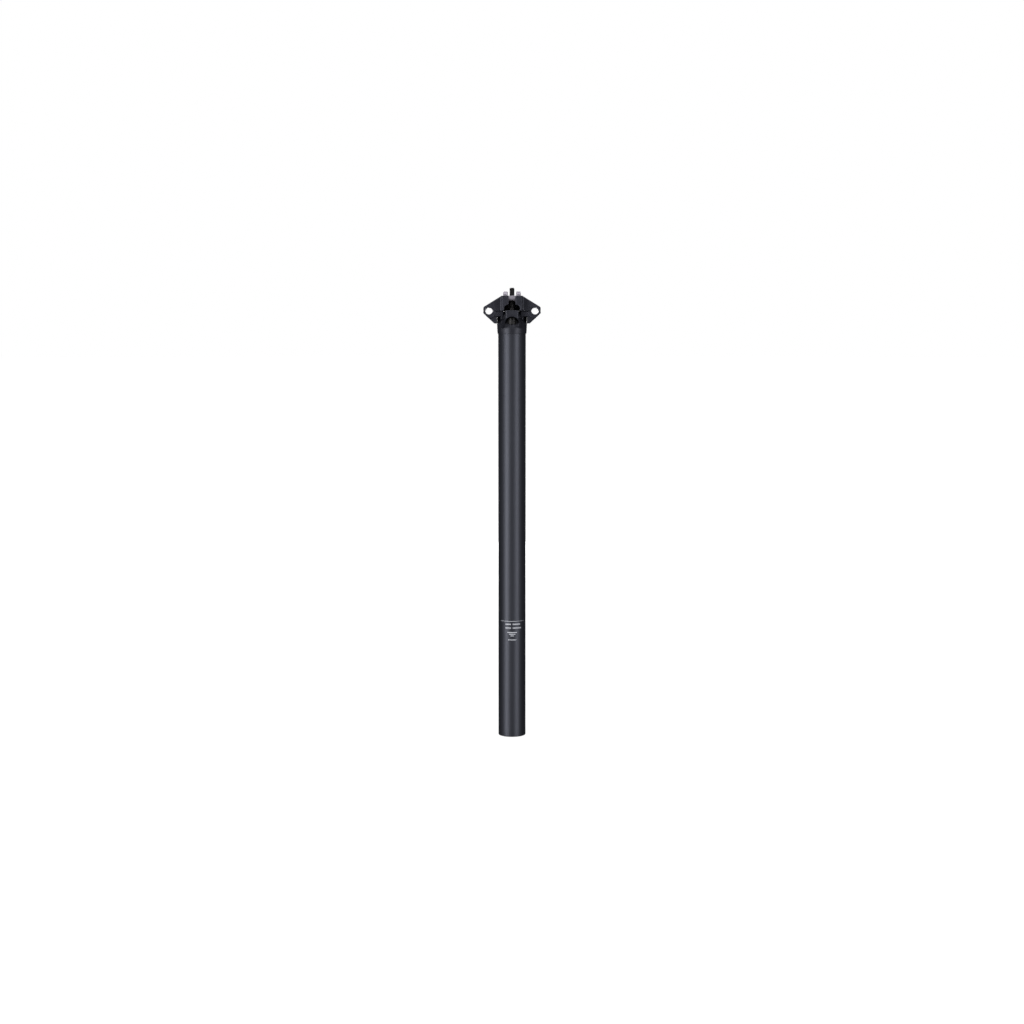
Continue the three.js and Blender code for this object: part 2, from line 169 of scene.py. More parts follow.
def net(name, field, low, high, cell):
    """Skins the zero surface of field(x, y, h) with one vertex for each grid cell that it crosses."""
    axes = [np.arange(a - 2 * cell, b + 3 * cell, cell) for a, b in zip(low, high)]
    grid = np.meshgrid(*axes, indexing="ij")
    value = field(*grid)
    cells = tuple(n - 1 for n in value.shape)
    total = np.zeros(cells + (3,))
    count = np.zeros(cells)
    for axis in range(3):
        near = np.take(value, range(cells[axis]), axis)
        far = np.take(value, range(1, cells[axis] + 1), axis)
        crosses = (near < 0) != (far < 0)
        share = np.where(crosses, near / np.where(crosses, near - far, 1), 0)
        spot = [np.take(g, range(cells[axis]), axis) for g in grid]
        spot[axis] = spot[axis] + share * cell
        others = [k for k in range(3) if k != axis]
        for corner in np.ndindex(2, 2):
            pick = [slice(None)] * 3
            for k, step in zip(others, corner):
                pick[k] = slice(step, step + cells[k])
            pick = tuple(pick)
            count += crosses[pick]
            for k in range(3):
                total[..., k] += np.where(crosses[pick], spot[k][pick], 0)
    used = count > 0
    number = np.full(cells, -1)
    number[used] = np.arange(used.sum())
    points = total[used] / count[used][:, None]
    faces = []
    for axis in range(3):
        order = (axis, (axis + 1) % 3, (axis + 2) % 3)
        v, n = value.transpose(order), number.transpose(order)
        near, far = v[:-1, 1:-1, 1:-1] < 0, v[1:, 1:-1, 1:-1] < 0
        ring = [n[:, :-1, :-1], n[:, 1:, :-1], n[:, 1:, 1:], n[:, :-1, 1:]]
        for wanted, turn in ((near & ~far, 1), (~near & far, -1)):
            faces.append(np.stack([r[wanted] for r in ring[::turn]], 1))
    points = np.clip(settle(points, field, cell), low, high)
    return mesh_object(name, points, np.concatenate(faces))


def settle(points, field, cell):
    """Moves points onto the zero surface along the field's slope."""
    step = cell / 8
    for _ in range(2):
        x, y, h = points.T
        here = field(x, y, h)
        slope = np.stack(
            [
                (field(x + step, y, h) - field(x - step, y, h)) / (2 * step),
                (field(x, y + step, h) - field(x, y - step, h)) / (2 * step),
                (field(x, y, h + step) - field(x, y, h - step)) / (2 * step),
            ],
            1,
        )
        square = np.maximum((slope**2).sum(1), 0.2)
        move = np.clip(here / square, -cell / 2, cell / 2)
        points = points - slope * move[:, None]
    return points


def revolve(name, profile, segments, relief=None, centre=(0, 0), closed=False, smooth=True):
    """Turned piece from rows of (radius, height); relief(angle, radius, height) adds to the radius."""
    radius, height = np.array(profile, float).T
    angle = np.arange(segments) * 2 * math.pi / segments
    r = np.repeat(radius[:, None], segments, 1)
    h = np.repeat(height[:, None], segments, 1)
    a = np.repeat(angle[None, :], len(radius), 0)
    if relief:
        r = r + relief(a, r, h)
    points = np.stack([centre[0] + r * np.cos(a), centre[1] + r * np.sin(a), h], 2).reshape(-1, 3)
    rows = len(radius)
    faces = []
    for i in range(rows if closed else rows - 1):
        low, high = i * segments, ((i + 1) % rows) * segments
        for j in range(segments):
            k = (j + 1) % segments
            faces.append((low + j, low + k, high + k, high + j))
    if not closed:
        faces.append(tuple(reversed(range(segments))))
        faces.append(tuple(range((rows - 1) * segments, rows * segments)))
    return mesh_object(name, points, faces, smooth)


def carve(piece, *tools):
    """Cuts each tool out of piece, and removes the tools."""
    for tool in tools:
        modifier = piece.modifiers.new("cut", "BOOLEAN")
        modifier.operation = "DIFFERENCE"
        modifier.solver = "EXACT"
        modifier.object = tool
    bpy.context.view_layer.update()
    depsgraph = bpy.context.evaluated_depsgraph_get()
    mesh = bpy.data.meshes.new_from_object(piece.evaluated_get(depsgraph))
    piece.modifiers.clear()
    piece.data = mesh
    for tool in tools:
        bpy.data.objects.remove(tool)
    return piece


CRISP_ANGLE = math.radians(35)


def crisp(piece):
    """Smooth shading that keeps the edges sharper than CRISP_ANGLE."""
    piece.data.shade_smooth()
    bm = bmesh.new()
    bm.from_mesh(piece.data)
    for edge in bm.edges:
        if len(edge.link_faces) == 2 and edge.calc_face_angle(0) > CRISP_ANGLE:
            edge.smooth = False
    bm.to_mesh(piece.data)
    bm.free()
    return piece


# ---- the head forging ---------------------------------------------------------------------------

FORGE_CELL = 0.36

# the skirt that covers the tube's top, as (radius, height) points from the foot up
SKIRT_FOOT, SKIRT_TOP = 0.4, 15
SKIRT_BEVEL = ((13.95, SKIRT_FOOT), (14.4, 2.3))
SKIRT_CROWN = ((14.6, 13.2), (13.6, 15.1))
SKIRT_TAPER, TAPER_TOP = 0.04, 9.8

# the arms fore and aft, which carry the bolts and splay towards the neck
ARM_X, ARM_FLANK_X = 6.6, 9.8
ARM_SPLAY, SPLAY_TOP = 0.35, 17.5
ARM_FOOT = 6.8
ARM_NOSE = ((5.9, ARM_Y), (9.6, 20.5))
ARM_UNDERSIDE = ((ARM_Y, 15.6), (14.0, 7.4))

# the shoulders on either side, under the cradle
SHOULDER_X, SHOULDER_Y, SHOULDER_FOOT = 14.65, 9.2, 9.4
SHOULDER_BEVEL = ((10.5, SHOULDER_Y), (14.6, 6.5))
FLANK_FOOT = 10.2  # above it nothing is wider than the shoulders

# the arch recess in each arm, with a pocket for the bolt's head and a bore for its shank
ARCH_R, ARCH_H, ARCH_DEPTH_Y = 6.9, 10.3, 14.9
BOSS_LOW = WASHER_TOP + 0.2
BOLT_HEAD_GAP, BOLT_GAP = 0.55, 0.3

# the spigot that the hidden stanchion is bonded to
SPIGOT_R, SPIGOT_FOOT, SPIGOT_TOP = 8.75, -15.5, 5
HOLLOW_R, HOLLOW_LOW, HOLLOW_TOP = (8.8, 13.75), 0.1, 13.7  # room for the tube around it

HEAD_REACH = ((-15, -26, -16), (15, 26, 24))  # corners of a box that holds the whole head


def head_field(x, y, h):
    """Skirt, arms, shoulders and spigot, less the recesses, the bolts' bores and the cradle's seat."""
    ax, ay = abs(x), abs(y)
    radial = np.hypot(x, y)
    taper = SKIRT_TAPER * np.minimum(h - TAPER_TOP, 0)
    bevel, crown = -line(radial, h, *SKIRT_BEVEL), -line(radial, h, *SKIRT_CROWN)
    skirt = meet(0.4, radial - SKIRT_R - taper, bevel, SKIRT_FOOT - h, h - SKIRT_TOP, crown)
    front = meet(0.8, ax - ARM_X - ARM_SPLAY * np.maximum(SPLAY_TOP - h, 0), h - HEAD_TOP)
    nose, underside = line(ax, ay, *ARM_NOSE), line(ay, h, *ARM_UNDERSIDE)
    arms = meet(0.9, front, ay - ARM_Y, nose, underside, ax - ARM_FLANK_X, ARM_FOOT - h)
    bevelled = line(ax, ay, *SHOULDER_BEVEL)
    sides = (ax - SHOULDER_X, ay - SHOULDER_Y, bevelled)
    shoulders = meet(0.6, *sides, h - HEAD_TOP, SHOULDER_FOOT - h)
    body = join(0.6, join(1.6, skirt, arms), shoulders)
    body = meet(0.3, body, np.where(h > FLANK_FOOT, ax - SHOULDER_X, INSIDE))
    arch = join(0.01, rod(x, h, (0, ARCH_H), ARCH_R), np.maximum(ax - ARCH_R, h - ARCH_H))
    body = cut(0.9, body, np.maximum(arch, ARCH_DEPTH_Y - ay))
    pocket = np.maximum(rod(x, ay, (0, BOLT_Y), BOLT_HEAD_R + BOLT_HEAD_GAP), h - BOSS_LOW)
    body = cut(0.5, body, pocket)
    body = cut(0.5, body, rod(x, ay, (0, BOLT_Y), BOLT_R + BOLT_GAP))
    body = cut(1.0, body, rod(y, h, (0, TILT_H), SEAT_R))
    spigot = np.maximum(radial - SPIGOT_R, np.maximum(SPIGOT_FOOT - h, h - SPIGOT_TOP))
    return np.minimum(body, spigot)


def make_head():
    head = net("head_forging", head_field, *HEAD_REACH, FORGE_CELL)
    inner, outer = HOLLOW_R
    section = [(inner, HOLLOW_LOW), (outer, HOLLOW_LOW), (outer, HOLLOW_TOP), (inner, HOLLOW_TOP)]
    return carve(head, revolve("hollow", section, 96, closed=True))


# ---- the two halves of the saddle clamp ---------------------------------------------------------

LUG_X, LUG_LOW = 10.2, TILT_H - 8.0
ROOF = ((26.8, 27.4), (LUG_X, CLAMP_TOP))  # from the jaw's outer end up to the lug
JAW_CORNER = ((CLAMP_X, JAW_Y - 2.4), (27.0, JAW_Y))
VALLEY_H = TILT_H - 2.2  # floor of the hollow between the lugs
VALLEY_END = ((10.5, VALLEY_H), (13.2, CLAMP_TOP + 1))
OPENING_X = 7.5  # half width of the opening with which the clamp straddles the head's arms
OPENING_SLANT = ((OPENING_X, LUG_LOW - 1.8), (5.2, LUG_LOW))
WEB_Y = 8.0  # half length of the web that closes the opening under the lugs
SLOT_X, SLOT_Y = 3.3, 14.6  # the slot in each lug for its bolt
NUT_SEAT_R, NUT_SEAT_X = 5.3, 8.8

WING_SLOPE = ((18.4, 11.7), (27.6, 20.4))
WING_DRAFT = ((JAW_Y - 3.2, CRADLE_LOW), (JAW_Y - 0.9, SPLIT_DOWN))
WING_INNER_X = 14.8
BRIDGE_X = WING_INNER_X + 2
COLLAR_R = 7.2  # thickening around each rail
WALL_X, WALL_LOW = 8.3, 17.6  # inner side and foot of the cradle's walls beside the arms
WALL_Y = (13.2, JAW_Y - 0.6)


def rail_field(ax, h, offset):
    """The channel for a saddle rail."""
    return rod(ax, h, (RAIL_X, RAIL_H + offset), RAIL_R)


def clamp_field(x, y, h):
    """Upper half: two roofed jaws, and a lug at each end with a slot for a bolt and a seat for its nut."""
    ax, ay = abs(x), abs(y)
    roof, corner = line(ax, h, *ROOF), -line(ax, ay, *JAW_CORNER)
    jaws = meet(1.1, -roof, ax - CLAMP_X, h - CLAMP_TOP, ay - JAW_Y, corner)
    lugs = meet(0.9, ax - LUG_X, ay - LUG_Y, h - CLAMP_TOP)
    body = meet(0.5, join(1.4, jaws, lugs), SPLIT_UP - h)
    body = cut(1.2, body, meet(2.0, VALLEY_H - h, -line(ay, h, *VALLEY_END)))
    slant = -line(ax, h, *OPENING_SLANT)
    body = cut(0.9, body, meet(0.6, ax - OPENING_X, slant, h - LUG_LOW, WEB_Y - ay))
    body = cut(0.5, body, rail_field(ax, h, -RAIL_OFFSET))
    body = cut(0.9, body, np.maximum(ax - SLOT_X, SLOT_Y - ay))
    pocket = rod(ay, h, (BOLT_Y, TILT_H), NUT_SEAT_R)
    mouth = np.maximum(abs(ay - BOLT_Y) - NUT_SEAT_R, TILT_H - h)
    return cut(0.5, body, np.maximum(np.minimum(pocket, mouth), ax - NUT_SEAT_X))


def cradle_field(x, y, h):
    """Lower half: two wings joined by a bridge that is round underneath, to rock on the head's seat."""
    ax, ay = abs(x), abs(y)
    slope, draft = -line(ax, h, *WING_SLOPE), -line(ay, h, *WING_DRAFT)
    wing = meet(1.1, ax - CLAMP_X, WING_INNER_X - ax, slope, CRADLE_LOW - h, draft)
    collar = meet(0.5, rod(ax, h, (RAIL_X, RAIL_H), COLLAR_R), ay - JAW_Y, ax - CLAMP_X, slope)
    walls = meet(0.7, WALL_X - ax, ax - BRIDGE_X, WALL_LOW - h, WALL_Y[0] - ay, ay - WALL_Y[1])
    bridge = meet(0.8, rod(y, h, (0, TILT_H), CRADLE_R), ax - BRIDGE_X)
    body = meet(0.5, join(0.4, join(0.5, wing, walls, collar), bridge), h - SPLIT_DOWN)
    return cut(0.5, body, rail_field(ax, h, RAIL_OFFSET))


def make_upper_clamp():
    low, high = (-CLAMP_X, -LUG_Y, SPLIT_UP), (CLAMP_X, LUG_Y, CLAMP_TOP)
    return net("upper_clamp_forging", clamp_field, low, high, FORGE_CELL)


def make_lower_cradle():
    low, high = (-CLAMP_X, -JAW_Y, CRADLE_LOW), (CLAMP_X, JAW_Y, SPLIT_DOWN)
    return net("lower_cradle_forging", cradle_field, low, high, FORGE_CELL)


# ---- screws, nuts and washers -------------------------------------------------------------------

THREAD_PITCH = 0.8
SAME = 1e-6  # radii no further apart than this belong to the same turned surface
BOLT_HEAD = 5  # height of a bolt's head
BOLT_THREAD = 15  # from the bolt's underside up to its thread
BOLT_SOCKET = (4, 2.8)  # across flats, depth
THREAD_DEPTH = 0.32
KNURLS, KNURL_DEPTH = 36, 0.1
NUT_FLAT_X, NUT_FLAT_H = 4.2, 1  # the barrel's middle is milled flat, this far above its axis
NUT_BORE_R = 3.3


def thread_rows(radius, low, high, rows_a_turn=8):
    """Rows of one radius, close enough together to carry the thread."""
    steps = int((high - low) / THREAD_PITCH * rows_a_turn)
    return [(radius, low + (high - low) * i / steps) for i in range(steps + 1)]


def thread_relief(depth, major, low):
    """A triangular helical groove that runs out at the low end of the thread."""

    def relief(angle, radius, height):
        phase = (height / THREAD_PITCH - angle / (2 * math.pi)) % 1
        fade = np.clip((height - low) / THREAD_PITCH, 0, 1)
        on_thread = (abs(radius - major) < SAME) * fade
        return -depth * (1 - abs(2 * phase - 1)) * on_thread

    return relief


def hex_tool(across_flats, low, high, centre=(0, 0)):
    """A hexagonal bar to cut a key socket with."""
    corner = across_flats / math.sqrt(3)
    return revolve("hex", [(corner, low), (corner, high)], 6, centre=centre, smooth=False)


def make_bolt(name, side):
    """Socket-head bolt, head down: knurled head, hex socket, plain neck and a rolled thread."""
    r, neck, top, head = BOLT_HEAD_R, BOLT_R - 0.02, BOLT_TOP, BOLT_LOW + BOLT_HEAD
    knurled = [(r, BOLT_LOW + 0.7 + 0.3 * i) for i in range(12)]
    profile = [(r - 0.6, BOLT_LOW), (r - 0.25, BOLT_LOW + 0.1), (r - 0.05, BOLT_LOW + 0.4), *knurled]
    profile += [(r - 0.05, head - 0.15), (r - 0.2, head), (BOLT_R + 0.2, head), (neck, head + 0.2)]
    thread_low, thread_high = BOLT_LOW + BOLT_THREAD, top - 0.7
    profile += [(neck, thread_low - 0.3), *thread_rows(BOLT_R, thread_low, thread_high)]
    profile += [(BOLT_R - 0.25, top - 0.5), (BOLT_R - 0.5, top - 0.22), (BOLT_R - 1.1, top)]
    thread = thread_relief(THREAD_DEPTH, BOLT_R, thread_low)

    def relief(angle, radius, height):
        wave = 0.5 + 0.5 * np.cos(KNURLS * angle)
        knurl = -KNURL_DEPTH * wave * (abs(radius - r) < SAME)
        return knurl + thread(angle, radius, height)

    segments = 144
    centre = (0, side * BOLT_Y)
    piece = revolve(name, profile, segments, relief, centre)
    across, depth = BOLT_SOCKET
    return crisp(carve(piece, hex_tool(across, BOLT_LOW - 1, BOLT_LOW + depth, centre)))


def make_nut(name, side):
    """Barrel nut lying across the lug, with a flat middle and a countersunk clearance bore."""

    def field(x, y, h):
        ax, v, u = abs(x), y - side * BOLT_Y, h - TILT_H
        barrel = meet(0.7, np.hypot(v, u) - NUT_R, ax - NUT_HALF_LENGTH)
        barrel = cut(0.5, barrel, meet(0.6, ax - NUT_FLAT_X, NUT_FLAT_H - u))
        countersink = np.clip(u - 0.6, 0, 0.4)
        return cut(0.3, barrel, np.hypot(x, v) - NUT_BORE_R - countersink)

    low = (-NUT_HALF_LENGTH, side * BOLT_Y - NUT_R, TILT_H - NUT_R)
    high = (NUT_HALF_LENGTH, side * BOLT_Y + NUT_R, TILT_H + NUT_R)
    return net(name, field, low, high, FORGE_CELL * 0.7)


def make_washer(name, side):
    """Domed washer between a bolt's head and the roof of its recess."""
    low, high, bore = WASHER_LOW, WASHER_TOP, 2.85
    turn = np.linspace(0.05, 1.5, 9)
    dome = [(2.9 + 1.5 * math.cos(t), low + 0.5 + 1.3 * math.sin(t)) for t in turn]
    profile = [(bore, low), (4.3, low), (4.45, low + 0.15), *dome, (bore, high)]
    return crisp(revolve(name, profile, 72, centre=(0, side * BOLT_Y), closed=True))


# ---- the tube, its printed marks and what shows at its lower end --------------------------------

TUBE_LOW = -SEAM
TUBE_BORE_R = 12.2
TUBE_EDGE = 0.7  # radius of the rounded lower edge
INK_OUT, INK_IN = 0.025, 0.05  # how far the ink stands out of the tube and reaches into it
LIMIT_Z = 116.8  # height of the insertion limit line above the tube's lower end
CAP_R = 12.05
SCREW_R = 5.0
SCREW_SOCKET = (6, 6)  # across flats, depth


def make_tube():
    low, high, bore = TUBE_LOW, TUBE_OVERLAP, TUBE_BORE_R
    inner, turn = TUBE_R - TUBE_EDGE, np.linspace(0, 1.57, 7)
    edge = [(inner + TUBE_EDGE * math.sin(t), low + TUBE_EDGE - TUBE_EDGE * math.cos(t)) for t in turn]
    long_rows = [(TUBE_R, low + (high - low) * i / 40) for i in range(1, 40)]
    profile = [(bore + 0.35, low), *edge, *long_rows, (TUBE_R, high - 0.4), (TUBE_R - 0.35, high)]
    profile += [(bore + 0.2, high), (bore, high - 0.2), (bore, low + 0.35)]
    return crisp(revolve("tube_shell", profile, 192, closed=True))


def printed(name, marks):
    """Ink on the front of the tube: curved bars of (middle, height from the tube's end, width, tall)."""
    points, faces = [], []
    for middle, z, width, tall in marks:
        steps = max(2, int(width / 0.5))
        for radius in (TUBE_R + INK_OUT, TUBE_R - INK_IN):
            for level in (z - tall / 2, z + tall / 2):
                for i in range(steps + 1):
                    angle = (middle - width / 2 + width * i / steps) / TUBE_R
                    spot = (radius * math.sin(angle), -radius * math.cos(angle), level - SEAM)
                    points.append(spot)
        n = steps + 1
        base = len(points) - 4 * n
        rows = [base, base + n, base + 3 * n, base + 2 * n]
        for low, high in zip(rows, rows[1:] + rows[:1]):
            for i in range(steps):
                faces.append((low + i, low + i + 1, high + i + 1, high + i))
        faces.append(tuple(reversed(rows)))
        faces.append(tuple(r + steps for r in rows))
    return mesh_object(name, points, faces, smooth=False)


def make_marks():
    """The limit line, two rows of blank words, three shrinking bars and a row of small blocks."""
    marks = [(0.3, LIMIT_Z, 26.5, 0.32)]
    for drop, words in ((3.0, (5, 7)), (6.7, (5, 8))):
        x = -6.2
        for letters in words:
            for _ in range(letters):
                marks.append((x, LIMIT_Z - drop, 0.75, 1.3))
                x += 1.15
            x += 1.6
    marks += [(0.2, LIMIT_Z - 11.2 - 1.7 * i, 9.6 - 3.2 * i, 0.7) for i in range(3)]
    marks += [(-3.4 + 1.2 * i, LIMIT_Z - 18.6, 0.8, 0.9) for i in range(7)]
    return printed("printed_marks", marks)


def make_bottom_cap():
    low, high = TUBE_LOW + 3, TUBE_LOW + 13

    def field(x, y, h):
        radial = np.hypot(x, y)
        body = meet(0.5, radial - CAP_R, SCREW_R + 0.25 - radial, low - h, h - high)
        dish = np.maximum(radial - 10.6, h - low - 0.8)
        holes = np.maximum(rod(abs(x), y, (8.2, 0), 1.25), h - low - 4.5)
        return cut(0.3, cut(0.5, body, dish), holes)

    return net("bottom_cap_turned", field, (-12.1, -12.1, low), (12.1, 12.1, high), FORGE_CELL)


def make_preload_screw():
    low, high = TUBE_LOW + 4, TUBE_LOW + 33
    rows = thread_rows(SCREW_R, low + 1, high - 1, 4)
    profile = [(4.4, low), (4.7, low + 0.3), *rows, (4.6, high - 0.4), (4.2, high)]
    relief = thread_relief(0.4, SCREW_R, low + 1)
    piece = revolve("preload_screw_turned", profile, 64, relief)
    across, depth = SCREW_SOCKET
    return crisp(carve(piece, hex_tool(across, low - 1, low + depth)))


WIRE_R, COIL_R, COILS = 1.35, 9.6, 13


def make_spring():
    """Round-wire compression spring."""
    low, high = (corner.z - SEAM for corner in box_mm("coil_spring"))
    steps, sides = COILS * 28, 12
    points, faces = [], []
    for i in range(steps + 1):
        angle = 2 * math.pi * COILS * i / steps
        h = low + WIRE_R + (high - low - 2 * WIRE_R) * i / steps
        for j in range(sides):
            t = 2 * math.pi * j / sides
            r = COIL_R + WIRE_R * math.cos(t)
            points.append((r * math.cos(angle), r * math.sin(angle), h + WIRE_R * math.sin(t)))
    for i in range(steps):
        for j in range(sides):
            k = (j + 1) % sides
            faces.append((i * sides + k, i * sides + j, (i + 1) * sides + j, (i + 1) * sides + k))
    faces.append(tuple(range(sides)))
    faces.append(tuple(reversed(range(steps * sides, (steps + 1) * sides))))
    return mesh_object("coil_spring_round", points, faces)


# ---- materials ----------------------------------------------------------------------------------


def noise(tree, scale, detail=2.0, stretch=None):
    """Noise in the object's own metres. stretch scales each axis, for drawn or turned grain."""
    place = tree.nodes.new("ShaderNodeTexCoord")
    texture = tree.nodes.new("ShaderNodeTexNoise")
    texture.inputs["Scale"].default_value = scale
    texture.inputs["Detail"].default_value = detail
    source = place.outputs["Object"]
    if stretch:
        mapping = tree.nodes.new("ShaderNodeMapping")
        mapping.inputs["Scale"].default_value = stretch
        tree.links.new(source, mapping.inputs["Vector"])
        source = mapping.outputs["Vector"]
    tree.links.new(source, texture.inputs["Vector"])
    return texture.outputs["Fac"]


def spread(tree, source, low, high, at=(0.3, 0.7)):
    """Maps source from the range at to the range from low to high."""
    node = tree.nodes.new("ShaderNodeMapRange")
    for socket, value in zip(("From Min", "From Max", "To Min", "To Max"), (*at, low, high)):
        node.inputs[socket].default_value = value
    tree.links.new(source, node.inputs["Value"])
    return node.outputs["Result"]


def two_tone(tree, source, dark, light):
    """Goes from dark to light over the middle of source's range."""
    ramp = tree.nodes.new("ShaderNodeValToRGB")
    ramp.color_ramp.elements[0].position = 0.35
    ramp.color_ramp.elements[1].position = 0.65
    ramp.color_ramp.elements[0].color = (*dark, 1)
    ramp.color_ramp.elements[1].color = (*light, 1)
    tree.links.new(source, ramp.inputs["Fac"])
    return ramp.outputs["Color"]


def worn(tree, colour, edge_colour, start=0.56, full=0.72):
    """Mixes in edge_colour where the surface is sharply convex, broken up by a noise."""
    geometry = tree.nodes.new("ShaderNodeNewGeometry")
    edges = spread(tree, geometry.outputs["Pointiness"], 0, 1, (start, full))
    patches = spread(tree, noise(tree, 900, 4), 0, 1, (0.45, 0.65))
    both = tree.nodes.new("ShaderNodeMath")
    both.operation = "MULTIPLY"
    tree.links.new(edges, both.inputs[0])
    tree.links.new(patches, both.inputs[1])
    mix = tree.nodes.new("ShaderNodeMix")
    mix.data_type = "RGBA"
    mix.inputs["B"].default_value = (*edge_colour, 1)
    tree.links.new(both.outputs[0], mix.inputs["Factor"])
    tree.links.new(colour, mix.inputs["A"])
    return mix.outputs["Result"]


def bump(tree, shader, source, strength, depth_mm):
    """Roughens the shader's surface by source, depth_mm deep."""
    node = tree.nodes.new("ShaderNodeBump")
    node.inputs["Strength"].default_value = strength
    node.inputs["Distance"].default_value = depth_mm * MM
    tree.links.new(source, node.inputs["Height"])
    tree.links.new(node.outputs["Normal"], shader.inputs["Normal"])


def surface(name, dark, light, metallic, rough, grain, stretch=None, edge=None):
    """One finish: two close tones, uneven roughness and a fine grain of (scale, strength, depth mm)."""
    material = bpy.data.materials.new(name)
    material.use_nodes = True
    tree = material.node_tree
    shader = tree.nodes["Principled BSDF"]
    shader.inputs["Metallic"].default_value = metallic
    colour = two_tone(tree, noise(tree, 90, 3, stretch), dark, light)
    if edge:
        colour = worn(tree, colour, edge)
    tree.links.new(colour, shader.inputs["Base Color"])
    tree.links.new(spread(tree, noise(tree, 260, 4, stretch), *rough), shader.inputs["Roughness"])
    scale, strength, depth = grain
    bump(tree, shader, noise(tree, scale, 3, stretch), strength, depth)
    return material


DRAWN = (1, 1, 0.02)  # grain drawn out along the post
TURNED = (1, 1, 12)  # grain in rings around the post
BARE_EDGE = (0.09, 0.09, 0.10)


def make_materials():
    """A finish for each material slot of the record, and one for the print."""
    return {
        "anodised_tube": surface(
            "satin_black_anodised", (0.034, 0.036, 0.045), (0.040, 0.042, 0.053), 0.75,
            rough=(0.42, 0.48), grain=(2400, 0.12, 0.02), stretch=DRAWN,
        ),
        "forged_head": surface(
            "blasted_black_head", (0.022, 0.023, 0.031), (0.029, 0.030, 0.040), 0.6,
            rough=(0.40, 0.50), grain=(3800, 0.3, 0.03), edge=BARE_EDGE,
        ),
        "forged_clamp": surface(
            "blasted_black_clamp", (0.020, 0.021, 0.029), (0.027, 0.028, 0.038), 0.6,
            rough=(0.42, 0.52), grain=(3800, 0.3, 0.03), edge=BARE_EDGE,
        ),
        "black_steel": surface(
            "black_oxide_steel", (0.012, 0.012, 0.013), (0.020, 0.019, 0.019), 0.85,
            rough=(0.30, 0.42), grain=(2600, 0.2, 0.02),
        ),
        "plated_nut": surface(
            "nickel_plate", (0.27, 0.25, 0.29), (0.33, 0.31, 0.35), 1.0,
            rough=(0.48, 0.58), grain=(2600, 0.12, 0.01),
        ),
        "plated_steel": surface(
            "zinc_plate", (0.50, 0.51, 0.54), (0.62, 0.63, 0.66), 1.0,
            rough=(0.25, 0.36), grain=(2200, 0.15, 0.01), stretch=TURNED,
        ),
        "anodised_inner": surface(
            "black_anodised_inner", (0.022, 0.022, 0.025), (0.030, 0.030, 0.034), 0.7,
            rough=(0.34, 0.42), grain=(2000, 0.15, 0.01), stretch=TURNED,
        ),
        "spring_steel": surface(
            "oiled_spring_steel", (0.20, 0.21, 0.23), (0.30, 0.31, 0.33), 0.95,
            rough=(0.24, 0.40), grain=(1500, 0.2, 0.01),
        ),
        "stanchion_steel": surface(
            "polished_stanchion", (0.55, 0.55, 0.57), (0.62, 0.62, 0.64), 1.0,
            rough=(0.12, 0.20), grain=(3000, 0.08, 0.005), stretch=TURNED,
        ),
        "nylon": surface(
            "glass_filled_nylon", (0.58, 0.55, 0.46), (0.66, 0.63, 0.55), 0.0,
            rough=(0.50, 0.62), grain=(1800, 0.25, 0.02),
        ),
        "elastomer": surface(
            "cellular_elastomer", (0.38, 0.18, 0.02), (0.48, 0.25, 0.04), 0.0,
            rough=(0.70, 0.85), grain=(700, 0.5, 0.08),
        ),
        "seal_rubber": surface(
            "nitrile_rubber", (0.010, 0.010, 0.010), (0.018, 0.018, 0.018), 0.0,
            rough=(0.60, 0.75), grain=(1500, 0.3, 0.02),
        ),
        "key_brass": surface(
            "turned_brass", (0.46, 0.30, 0.08), (0.55, 0.37, 0.11), 1.0,
            rough=(0.25, 0.35), grain=(1800, 0.15, 0.01),
        ),
        "print": surface(
            "pale_print", (0.42, 0.43, 0.47), (0.50, 0.51, 0.55), 0.0,
            rough=(0.45, 0.55), grain=(2000, 0.1, 0.005),
        ),
    }


def dress(piece, material):
    """Gives a piece this material and no other."""
    piece.data.materials.clear()
    piece.data.materials.append(material)


# ---- camera, light and floor --------------------------------------------------------------------

VIEW_DISTANCE = 1.744
VIEW_PITCH = math.radians(5.745)
VIEW_LENS = 62.0

# each softbox: place, the point it faces, its width and height, and its power, in metres and watts
SOFTBOXES = {
    "left_softbox": ((-0.97, -1.0, 0.22), (0, 0, 0.22), (0.74, 1.9), 26),
    "right_softbox": ((0.93, -1.05, 0.22), (0, 0, 0.22), (0.60, 1.9), 16),
    "back_softbox": ((0, 1.6, 0.5), (0, 0, 0.3), (0.7, 1.2), 16),
    "rear_left_softbox": ((-0.7, 0.9, 1.5), (0, 0, 0.25), (0.5, 0.8), 8),
    "rear_right_softbox": ((0.7, 0.9, 1.5), (0, 0, 0.25), (0.5, 0.8), 8),
    "top_softbox": ((0, -0.2, 1.6), (0, 0, 0.4), (0.9, 0.9), 9),
}
ROOM_LIGHT = (0.045, 0.047, 0.052, 1)
BACKDROP = (1, 1, 1, 1)

FLOOR_RADIUS = 30
FLOOR_DROP = 0.0005  # how far the floor lies below the tube's end
FLOOR_GLOW = (0.84, 1.0)  # strength near the post and far from it
GLOW_REACH = (0.1, 1.2)  # distances from the post between which it rises
FLOOR_TONE = (0.30, 0.30, 0.30, 1)


def make_camera():
    data = bpy.data.cameras.new("camera")
    data.lens = VIEW_LENS
    data.sensor_width = 36
    data.clip_start = 0.01
    camera = bpy.data.objects.new("camera", data)
    camera.location = (0, -VIEW_DISTANCE, SEAM * MM)
    camera.rotation_euler = (math.pi / 2 - VIEW_PITCH, 0, 0)
    bpy.context.scene.collection.objects.link(camera)
    bpy.context.scene.camera = camera


